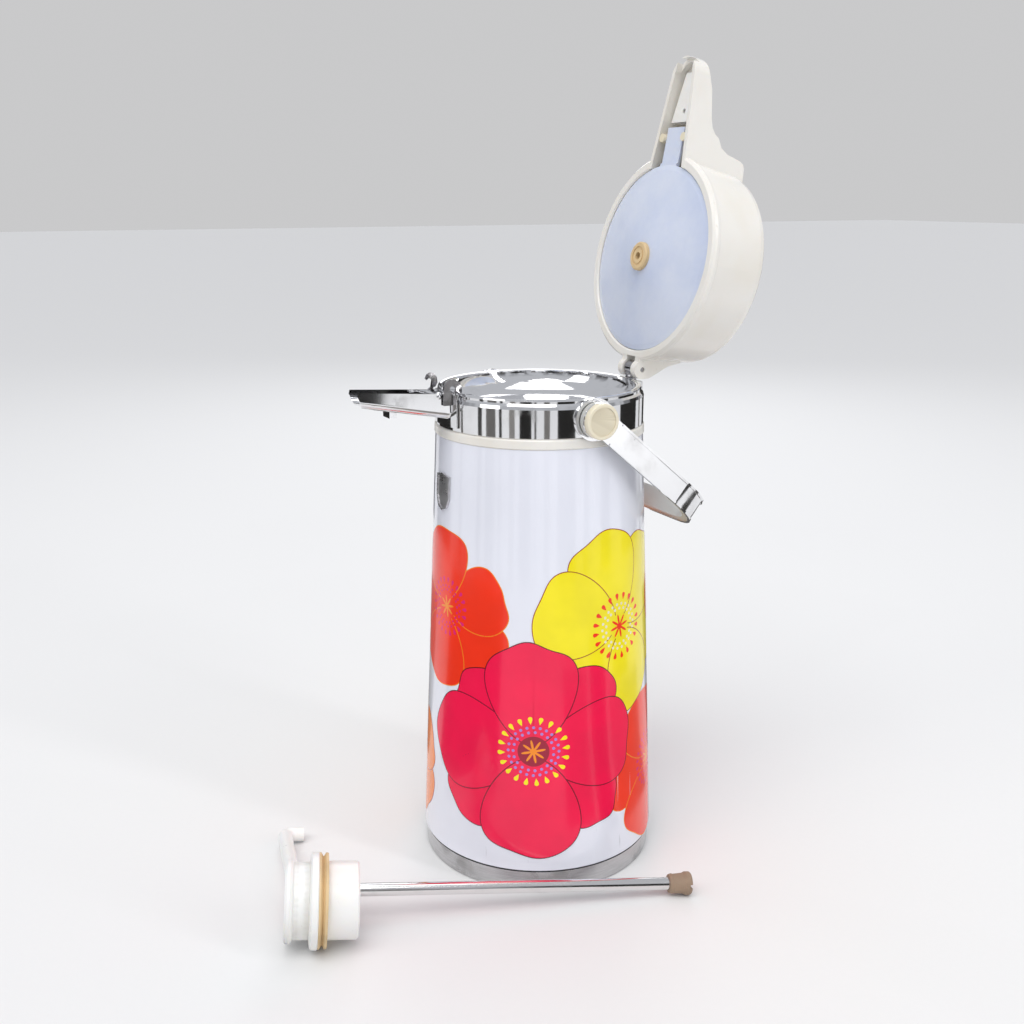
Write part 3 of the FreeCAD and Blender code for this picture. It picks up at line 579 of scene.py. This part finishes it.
def dress(nodes: dict[str, bpy.types.Object], finish: Finish, names: Iterable[str]) -> None:
    """Gives CAD nodes a finish.

    Args:
        nodes: All the CAD nodes by name.
        finish: The finish.
        names: The nodes that take it.
    """
    for name in names:
        data = nodes[name].data
        data.materials.clear()
        data.materials.append(finish.material())
        LOG.info("dressed %s in %s", name, finish.name)


# -------------------------------------------------------------------- print


PETAL_START = 3.0  # distance from the flower's centre to a petal's foot, in millimetres
PETAL_CROWDING = 1.15  # how the points crowd towards the foot
PETAL_FAN = 2.1  # how fast a petal widens from its foot
PETAL_FULLNESS = 0.62  # how soon it is nearly as wide as it gets
PETAL_BLUNTNESS = 5.5  # how square its tip is
PETAL_SPREAD = 1.1  # its curve's widest place, against half_width
WAVY_FROM = 0.55  # the share of its length where its edge starts to wave
DROP_STEPS = 16
STAR_STEPS_PER_ARM = 12


@dataclass(frozen=True)
class Petal:
    """One petal of a printed flower, in the flat of the print, in millimetres and degrees."""

    heading: float
    reach: float
    half_width: float
    lobes: float = 1.0
    sway: float = 0.0

    def outline(self, inset: float = 0.0, points: int = 40) -> list[Point]:
        """The petal's edge, moved inwards by inset.

        Args:
            inset: How far inside the true edge, in millimetres.
            points: Points on each side of the petal.

        Returns:
            The closed edge as points round the flower's centre.
        """
        half: list[Point] = []
        for i in range(points + 1):
            part = math.sin(i / points * math.pi / 2) ** PETAL_CROWDING
            fan = (1 - (1 - part) ** PETAL_FAN) ** PETAL_FULLNESS
            width = self.half_width * PETAL_SPREAD * fan * math.sqrt(max(0.0, 1 - part**PETAL_BLUNTNESS))
            half.append((PETAL_START + (self.reach - PETAL_START) * part, width))
        edge = half + [(a, -w) for a, w in reversed(half[:-1])]
        ring: list[Point] = []
        for along, across in edge:
            outer = max(0.0, along / self.reach - WAVY_FROM) / (1 - WAVY_FROM)
            side = across / self.half_width * self.lobes
            ripple = math.sin(side * 3.3 + self.sway * 7.0)
            ripple += 0.5 * math.sin(side * 6.1 + self.sway * 3.0 + 1.0)
            wide = across * (1 + 0.02 * ripple * outer)
            ring.append((along * (1 + 0.022 * ripple * outer), wide + self.sway * along * 0.05))
        if inset:
            ring = offset(ring, inset)
        turn = math.radians(self.heading)
        cos, sin = math.cos(turn), math.sin(turn)
        return [(a * cos - w * sin, a * sin + w * cos) for a, w in ring]


def offset(ring: Sequence[Point], inset: float) -> list[Point]:
    """Moves a closed ring inwards.

    Args:
        ring: The points of the ring, in either direction.
        inset: The distance, in the ring's own units.

    Returns:
        The smaller ring.
    """
    count = len(ring)
    area = sum(
        ring[i][0] * ring[(i + 1) % count][1] - ring[(i + 1) % count][0] * ring[i][1]
        for i in range(count)
    )
    side = 1.0 if area > 0 else -1.0
    moved: list[Point] = []
    for i, (x, y) in enumerate(ring):
        ax, ay = ring[i - 1]
        bx, by = ring[(i + 1) % count]
        dx, dy = bx - ax, by - ay
        size = math.hypot(dx, dy) or 1.0
        moved.append((x - side * dy / size * inset, y + side * dx / size * inset))
    return moved


@dataclass(frozen=True)
class Heart:
    """The stamens and centre of a printed flower."""

    drops: InkName
    dots: InkName
    disc: InkName
    star: InkName
    drop_count: int = 20
    drop_inner: float = 17.4
    drop_outer: float = 22.2
    dot_rings: tuple[tuple[float, int], ...] = ((15.4, 24), (12.3, 19))
    dot_size: float = 0.95
    disc_radius: float = 9.6
    star_radius: float = 7.6
    star_arms: int = 8

    def shapes(self) -> list[tuple[list[Point], InkName]]:
        """Every shape of the heart with its ink, lowest first.

        Returns:
            Closed rings round the flower's centre, each with its ink.
        """
        shapes: list[tuple[list[Point], InkName]] = []
        shapes.append((self._round(0.0, 0.0, self.disc_radius, 48), self.disc))
        for index in range(self.drop_count):
            turn = 2 * math.pi * index / self.drop_count + 0.1
            shapes.append((self._drop(turn), self.drops))
        for ring, (radius, count) in enumerate(self.dot_rings):
            for index in range(count):
                turn = 2 * math.pi * (index + 0.5 * ring) / count
                x, y = radius * math.cos(turn), radius * math.sin(turn)
                shapes.append((self._round(x, y, self.dot_size, 10), self.dots))
        shapes.append((self._star(), self.star))
        return shapes

    @staticmethod
    def _round(x: float, y: float, radius: float, points: int) -> list[Point]:
        """A circle as a ring of points."""
        turns = [2 * math.pi * i / points for i in range(points)]
        return [(x + radius * math.cos(t), y + radius * math.sin(t)) for t in turns]

    def _drop(self, turn: float) -> list[Point]:
        """A drop that points at the flower's centre."""
        length = self.drop_outer - self.drop_inner
        ring: list[Point] = []
        for i in range(DROP_STEPS):
            t = 2 * math.pi * i / DROP_STEPS
            along = self.drop_inner + length * (0.5 - 0.5 * math.cos(t))
            across = math.sin(t) * (0.5 - 0.42 * math.cos(t)) * length * 0.46
            ring.append(
                (
                    along * math.cos(turn) - across * math.sin(turn),
                    along * math.sin(turn) + across * math.cos(turn),
                )
            )
        return ring

    def _star(self) -> list[Point]:
        """A star of narrow round-ended arms."""
        ring: list[Point] = []
        steps = self.star_arms * STAR_STEPS_PER_ARM
        for i in range(steps):
            t = 2 * math.pi * i / steps
            arm = (0.5 + 0.5 * math.cos(self.star_arms * t)) ** 1.6
            radius = self.star_radius * (0.26 + 0.74 * arm)
            ring.append((radius * math.cos(t + 0.2), radius * math.sin(t + 0.2)))
        return ring


@dataclass(frozen=True)
class Flower:
    """One printed flower, placed by its bearing from the spout and its height."""

    name: str
    bearing: float
    height: float
    petals: tuple[Petal, ...]
    fill: InkName
    line: InkName
    heart: Heart
    lift: float = 0.02
    line_width: float = 0.55
    ink_step: float = 0.007
    heart_step: float = 0.01

    def films(self) -> list[tuple[list[Point], InkName, float]]:
        """Every ink film with its height above the enamel.

        Returns:
            Rings in the flat, with their inks and heights in millimetres.
        """
        films: list[tuple[list[Point], InkName, float]] = []
        level = self.lift
        for petal in self.petals:
            films.append((petal.outline(), self.line, level))
            films.append((petal.outline(self.line_width), self.fill, level + self.ink_step))
            level += 2 * self.ink_step
        disc, *above = self.heart.shapes()
        films.append((*disc, level))
        films.extend((*shape, level + self.heart_step) for shape in above)
        return films


@dataclass
class PrintedFlowers:
    """The print: flowers in thin ink on the tapered body."""

    low_z: float = 14.0
    high_z: float = 276.0
    low_radius: float = 75.0
    high_radius: float = 64.1
    strip: float = 2.2
    cut_shift: float = 0.0137
    film: float = 0.02
    flowers: tuple[Flower, ...] = field(default_factory=tuple)

    def radius(self, z: float) -> float:
        """The body's radius at a height, in millimetres."""
        part = (z - self.low_z) / (self.high_z - self.low_z)
        return self.low_radius + (self.high_radius - self.low_radius) * part

    def wrap(self, flower: Flower, across: float, up: float, lift: float) -> Triple:
        """Puts a point of the flat print onto the body.

        Args:
            flower: The flower that the point is in.
            across: Distance round the body from its centre, in millimetres.
            up: Distance up from its centre, in millimetres.
            lift: Height above the enamel, in millimetres.

        Returns:
            The point in metres.
        """
        z = flower.height + up
        radius = self.radius(z)
        turn = math.radians(flower.bearing) + across / radius
        radius += lift
        return (radius * math.sin(turn) * MM, -radius * math.cos(turn) * MM, z * MM)

    def build(self, flower: Flower) -> bpy.types.Object:
        """Makes one flower as closed thin films.

        Args:
            flower: What to make.

        Returns:
            The piece, riding on the jug.
        """
        films = flower.films()
        inks = list(dict.fromkeys(ink for _, ink, _ in films))
        work = bmesh.new()
        reach = 0.0
        for ring, ink, level in films:
            corners = [work.verts.new((x, level, y)) for x, y in ring]
            face = work.faces.new(corners)
            face.material_index = inks.index(ink)
            reach = max(reach, max(abs(x) for x, _ in ring))
        cuts = int(reach / self.strip) + 1
        for index in range(-cuts, cuts + 1):
            bmesh.ops.bisect_plane(
                work,
                geom=work.verts[:] + work.edges[:] + work.faces[:],
                plane_co=(index * self.strip + self.cut_shift, 0, 0),
                plane_no=(1, 0, 0),
                dist=1e-6,
            )
        bmesh.ops.triangulate(work, faces=work.faces[:])
        work.verts.index_update()
        count = len(work.verts)
        verts = [self.wrap(flower, v.co.x, v.co.z, v.co.y) for v in work.verts]
        verts += [self.wrap(flower, v.co.x, v.co.z, v.co.y - self.film) for v in work.verts]
        faces: list[tuple[int, ...]] = []
        picks: list[int] = []
        for face in work.faces:
            ring = [v.index for v in face.verts]
            a, b, c = (corner.co for corner in face.verts[:3])
            if (b - a).cross(c - a).y > 0:
                ring.reverse()
            faces.append(tuple(ring))
            faces.append(tuple(i + count for i in reversed(ring)))
            picks += [face.material_index] * 2
            rims = [{v.index for v in edge.verts} for edge in face.edges if edge.is_boundary]
            for start, end in zip(ring, ring[1:] + ring[:1]):
                if {start, end} in rims:
                    faces.append((end, start, start + count, end + count))
                    picks.append(face.material_index)
        work.free()
        made = mesh_object(f"print_{flower.name}", verts, faces, [ink.value for ink in inks], picks)
        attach(made, "jug")
        LOG.info("made %s with %d faces", made.name, len(faces))
        return made

    def make(self) -> None:
        """Makes every flower."""
        for flower in self.flowers:
            self.build(flower)


CRIMSON_HEART = Heart(InkName.YELLOW, InkName.LILAC, InkName.WINE, InkName.AMBER)
YELLOW_HEART = Heart(
    InkName.VERMILION,
    InkName.PALE,
    InkName.YELLOW,
    InkName.VERMILION,
    drop_inner=16.2,
    drop_outer=20.8,
    dot_rings=((13.9, 22), (11.2, 18)),
    dot_size=0.9,
    disc_radius=8.0,
)
ORANGE_HEART = replace(YELLOW_HEART, disc=InkName.ORANGE)
RED_HEART = Heart(
    InkName.MAGENTA,
    InkName.MAGENTA,
    InkName.VERMILION,
    InkName.AMBER,
    drop_count=22,
    drop_inner=14.6,
    drop_outer=18.4,
    dot_rings=((12.8, 22), (10.4, 18)),
    dot_size=0.8,
    disc_radius=8.4,
    star_radius=7.0,
)
FULL_PETALS = (
    Petal(138, 63, 23, 1.1, 0.4),
    Petal(46, 66, 22, 0.9, -0.5),
    Petal(-43, 69, 22, 1.2, 0.2),
    Petal(-139, 71, 23, 1.0, -0.3),
    Petal(180, 73, 32, 0.9, 0.25),
    Petal(2, 68, 29, 1.0, -0.2),
    Petal(92, 67, 30, 1.2, 0.15),
    Petal(-92, 70, 33, 0.9, -0.1),
)
SIX_PETALS = (
    Petal(-128, 58, 25, 1.1, 0.3),
    Petal(-12, 58, 26, 1.0, -0.3),
    Petal(46, 62, 29, 1.2, 0.2),
    Petal(103, 61, 27, 1.0, 0.4),
    Petal(163, 59, 28, 0.9, -0.2),
    Petal(-68, 57, 25, 1.1, -0.4),
)
FIVE_PETALS = (
    Petal(172, 50, 28, 1.0, 0.3),
    Petal(-38, 53, 23, 1.1, -0.2),
    Petal(18, 47, 22, 1.2, -0.3),
    Petal(-104, 51, 27, 1.0, 0.1),
    Petal(106, 48, 29, 0.9, 0.2),
)


def flower_print() -> PrintedFlowers:
    """The flowers round the body, those behind first."""
    above_others = 0.15
    vermilion = (FIVE_PETALS, InkName.VERMILION, InkName.AMBER, RED_HEART)
    yellow = (SIX_PETALS, InkName.YELLOW, InkName.RUST, YELLOW_HEART)
    orange = (InkName.ORANGE, InkName.RUST, ORANGE_HEART)
    crimson = (FULL_PETALS, InkName.CRIMSON, InkName.MAROON, CRIMSON_HEART, above_others)
    return PrintedFlowers(
        flowers=(
            Flower("vermilion_spout_side", 6.7, 174, *vermilion),
            Flower("yellow_right", 106.6, 165, *yellow),
            Flower("orange_left", -40, 66, FIVE_PETALS, *orange),
            Flower("vermilion_low_right", 135, 66, *vermilion),
            Flower("orange_back_high", 186, 168, SIX_PETALS, *orange),
            Flower("yellow_back_high", 283, 166, *yellow),
            Flower("crimson_front", 59.2, 93, *crimson),
            Flower("crimson_back", 233, 90, *crimson),
        )
    )


# -------------------------------------------------------------- assemblies


@dataclass
class JugBody:
    """The enamelled body with its base, collar, spout trough, hinge and glass liner."""

    nodes: dict[str, bpy.types.Object]
    print_design: PrintedFlowers = field(default_factory=flower_print)

    def make(self) -> None:
        """Dresses the nodes and lays the print."""
        dress(self.nodes, ENAMEL_WHITE, ["body_shell"])
        dress(self.nodes, STEEL_RING, ["base_ring"])
        dress(self.nodes, WHITE, ["base_cover"])
        dress(self.nodes, BLACK, ["base_seam_band"])
        dress(self.nodes, IVORY, ["shoulder_ring"])
        dress(self.nodes, CHROME, ["collar", "mouth_funnel", "pour_trough", "trough_peg", "hinge_bracket"])
        dress(self.nodes, CHROME_DARK, ["trough_ear", "latch_pin", "hinge_knuckle", "hinge_pin"])
        dress(self.nodes, CHROME_BADGE, ["badge_shield"])
        dress(self.nodes, SILVERED, ["liner_outer_glass", "liner_inner_glass"])
        dress(self.nodes, BLACK, ["liner_cushion"])
        dress(self.nodes, TAN, ["neck_packing"])
        self.print_design.make()


@dataclass
class CarryHandle:
    """The swinging handle with its hubs, caps, band and inner grip."""

    nodes: dict[str, bpy.types.Object]

    def make(self) -> None:
        """Dresses the nodes."""
        sides = ("left", "right")
        dress(self.nodes, GRIP_GREY, ["handle_grip"])
        dress(self.nodes, CAP_IVORY, [f"handle_cap_{side}" for side in sides])
        dress(self.nodes, CHROME, ["handle_band"])
        dress(self.nodes, CHROME, [f"handle_{kind}_{side}" for kind in ("hub", "stud") for side in sides])


@dataclass
class PumpLid:
    """The lid with its beak, underside disc and pump."""

    nodes: dict[str, bpy.types.Object]
    joints: list[dict[str, object]]
    pressed_share: float = 0.34

    def folding(self, name: str) -> None:
        """Puts a copy of a pump node in its place, riding on the lid, and hides the node.

        Args:
            name: The CAD node.
        """
        data = self.nodes[name].data.copy()
        made = bpy.data.objects.new(f"{name}_folding", data)
        bpy.context.scene.collection.objects.link(made)
        push = next(joint for joint in self.joints if joint["name"] == "pump_push")
        up = -Vector(push["axis"])
        foot = min((v.co for v in data.vertices), key=up.dot).copy()
        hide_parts(name)
        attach(made, "lid")
        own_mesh(made)
        LOG.info("made %s in place of %s", made.name, name)

    def make(self) -> None:
        """Dresses the nodes and puts copies of the bellows and spring in place of their nodes."""
        dress(self.nodes, IVORY, ["lid_shell", "lid_bead", "push_plate", "lock_slider"])
        dress(self.nodes, DISC_BLUE, ["lid_disc"])
        dress(self.nodes, TAN, ["outlet_packing"])
        dress(self.nodes, CAP_IVORY, ["bumper_left", "bumper_right"])
        dress(self.nodes, WHITE, ["beak_plate", "pump_base", "air_outlet_tube"])
        dress(self.nodes, STEEL_WIRE, ["beak_screw", "pump_spring"])
        dress(self.nodes, BLACK, ["pump_bellows"])
        dress(self.nodes, CHROME_DARK, ["latch_hook"])
        self.folding("pump_bellows")
        self.folding("pump_spring")


@dataclass
class Stopper:
    """The stopper that lies beside the jug, with its dip tube and delivery pipe."""

    nodes: dict[str, bpy.types.Object]

    def make(self) -> None:
        """Dresses the nodes."""
        dress(self.nodes, WHITE, ["stopper_body", "stopper_lower", "delivery_pipe"])
        dress(self.nodes, TAN, ["stopper_gasket"])
        dress(self.nodes, STEEL_TUBE, ["dip_tube"])
        dress(self.nodes, BROWN, ["dip_tube_foot"])


@dataclass
class Studio:
    """Floor, lights, world, reflection cards and camera."""

    camera_at: Triple = (0.6401, -0.3548, 0.4176)
    camera_look: Triple = (-0.8558, 0.4490, -0.2571)
    lens: float = 42.19
    sensor: float = 36.0
    lamps_aim: Triple = (0.0, -0.02, 0.2)
    sun_power: float = 1.25
    sun_spread: float = 40.0
    sun_aim: Triple = (-0.42, 0.38, -1.0)
    sun_colour: Colour = (1.0, 0.99, 0.975)
    dome_pale: Colour = (0.86, 0.88, 0.93)
    dome_dark: Colour = (0.04, 0.038, 0.04)
    backdrop: Colour = (0.98, 0.98, 0.99)
    world_power: float = 0.6
    floor_half: float = 14.0
    paper: Colour = (0.80, 0.80, 0.80)
    card_distance: float = 0.86
    card_height: float = 0.42
    card_foot: float = 0.0015
    patch_rise: float = 0.002
    card_steps: int = 8
    cards: tuple[tuple[float, float, float], ...] = (
        (-78, -44, 0.02),
        (-30, -27, 0.12),
        (-6, -1, 0.06),
        (4, 15, 0.18),
        (19, 22, 0.03),
        (30, 36, 0.30),
        (41, 53, 0.02),
        (56, 58, 0.10),
        (66, 72, 0.25),
        (80, 99, 0.02),
        (108, 112, 0.14),
        (128, 140, 0.05),
        (156, 188, 0.02),
        (196, 200, 0.18),
        (210, 224, 0.04),
        (244, 268, 0.03),
    )
    patches: tuple[tuple[float, float, float, float, float], ...] = (
        (-40, 26, 0.20, 0.80, 0.07),
        (84, 108, 0.16, 0.50, 0.24),
        (112, 128, 0.13, 0.62, 0.06),
        (132, 176, 0.13, 0.40, 0.28),
        (140, 160, 0.42, 0.62, 0.04),
        (200, 236, 0.16, 0.60, 0.10),
        (262, 292, 0.16, 0.60, 0.20),
    )

    def make(self) -> None:
        """Sets up everything round the object."""
        self.floor()
        self.world()
        for index, (start, end, shade) in enumerate(self.cards):
            self.card(f"studio_card_{index}", start, end, shade)
        for index, (start, end, near, far, shade) in enumerate(self.patches):
            self.card(f"studio_patch_{index}", start, end, shade, near, far)
        self.sun()
        self.lamp("key_softbox", (0.15, -1.7, 1.35), 0.8, 1.2, 5.0, (1.0, 0.985, 0.96))
        self.lamp("side_strip", (1.42, 0.8, 0.95), 0.16, 1.5, 6.5, (1.0, 1.0, 1.0))
        self.lamp("top_softbox", (-0.2, 0.1, 1.9), 0.9, 0.9, 4.0, (1.0, 1.0, 1.0))
        self.lamp("back_softbox", (-1.5, 0.9, 1.2), 0.7, 1.2, 5.0, (0.97, 0.98, 1.0))
        self.camera()

    def floor(self) -> None:
        """Lays the pale floor."""
        half = self.floor_half
        paper = Backing("studio_paper", "", self.paper)
        corners = [(-half, -half, 0), (half, -half, 0), (half, half, 0), (-half, half, 0)]
        mesh_object("studio_floor", corners, [(0, 1, 2, 3)], [paper])

    def card(
        self, name: str, start: float, end: float, shade: float, near: float = 0.0, far: float = 0.0
    ) -> None:
        """Puts a dark curved card round the object, which only reflections show.

        Args:
            name: The card's name.
            start: Bearing of its first edge from the spout, in degrees.
            end: Bearing of its last edge.
            shade: How light it is.
            near: Inner radius of a card that lies flat.
            far: Its outer radius, or 0 for a card that stands.
        """
        inner = near if far else self.card_distance
        outer = far or self.card_distance
        top = self.patch_rise if far else self.card_height
        steps = self.card_steps
        verts: list[Triple] = []
        for i in range(steps + 1):
            turn = math.radians(start + (end - start) * i / steps)
            x, y = math.sin(turn), -math.cos(turn)
            verts += [(x * inner, y * inner, self.card_foot), (x * outer, y * outer, top)]
        faces = [(2 * i, 2 * i + 2, 2 * i + 3, 2 * i + 1) for i in range(steps)]
        paper = Backing(f"studio_card_paper_{int(shade * 100)}", "", (shade, shade * 0.96, shade * 0.9))
        made = mesh_object(name, verts, faces, [paper])
        for kind in ("camera", "diffuse", "shadow", "transmission"):
            setattr(made, f"visible_{kind}", False)

    def sun(self) -> None:
        """Adds a broad soft light over the whole floor."""
        data = bpy.data.lights.new("broad_light", "SUN")
        data.energy, data.angle = self.sun_power, math.radians(self.sun_spread)
        data.color = self.sun_colour
        lamp = bpy.data.objects.new("broad_light", data)
        lamp.rotation_mode = "QUATERNION"
        lamp.rotation_quaternion = Vector(self.sun_aim).to_track_quat("-Z", "Y")
        bpy.context.scene.collection.objects.link(lamp)

    def world(self) -> None:
        """A plain backdrop, and a pale dome with darker bands low down for plated parts to reflect."""
        world = bpy.data.worlds.new("studio_world")
        bpy.context.scene.world = world
        tree = Tree(world)
        aim = tree.add("ShaderNodeTexCoord", out="Generated")
        rise = tree.axis(aim, "Z")
        bands = tree.noise(tree.stretch(aim, (1.0, 1.0, 0.02)), 4.2, 2.0).within(0.44, 0.56)
        low = rise.within(0.02, 0.5, 1.0, 0.0)
        dark = low * (1 - bands) * 0.9
        dome = tree.tint(dark, self.dome_pale, self.dome_dark)
        plain = tree.add("ShaderNodeLightPath", out="Is Camera Ray")
        shown = tree.tint(plain, dome, self.backdrop)
        light = tree.add("ShaderNodeBackground", None, {"Color": shown, "Strength": self.world_power})
        tree.add("ShaderNodeOutputWorld", None, {"Surface": light})

    def lamp(
        self, name: str, place: Triple, width: float, height: float, power: float, colour: Colour
    ) -> None:
        """Adds one soft lamp that faces the object.

        Args:
            name: The lamp's name.
            place: Where it stands, in metres.
            width: Width of its face.
            height: Height of its face.
            power: Power in watts.
            colour: Its light.
        """
        data = bpy.data.lights.new(name, "AREA")
        data.shape = "RECTANGLE"
        data.size, data.size_y, data.energy, data.color = width, height, power, colour
        lamp = bpy.data.objects.new(name, data)
        lamp.location = place
        aim = Vector(self.lamps_aim) - Vector(place)
        lamp.rotation_mode = "QUATERNION"
        lamp.rotation_quaternion = aim.to_track_quat("-Z", "Y")
        bpy.context.scene.collection.objects.link(lamp)

    def camera(self) -> None:
        """Adds the camera."""
        data = bpy.data.cameras.new("view_camera")
        data.lens, data.sensor_width = self.lens, self.sensor
        camera = bpy.data.objects.new("view_camera", data)
        camera.location = self.camera_at
        camera.rotation_mode = "QUATERNION"
        camera.rotation_quaternion = Vector(self.camera_look).to_track_quat("-Z", "Y")
        bpy.context.scene.collection.objects.link(camera)
        bpy.context.scene.camera = camera


def main() -> None:
    """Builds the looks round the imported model."""
    logging.basicConfig(level=logging.INFO, format="%(name)s: %(message)s")
    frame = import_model()
    bpy.context.scene.view_settings.view_transform = "Standard"
    nodes = frame["nodes"]
    Studio().make()
    lid = PumpLid(nodes, frame["joints"])
    for assembly in (JugBody(nodes), CarryHandle(nodes), lid, Stopper(nodes)):
        assembly.make()
        LOG.info("finished %s", type(assembly).__name__)


if __name__ == "__main__":
    main()
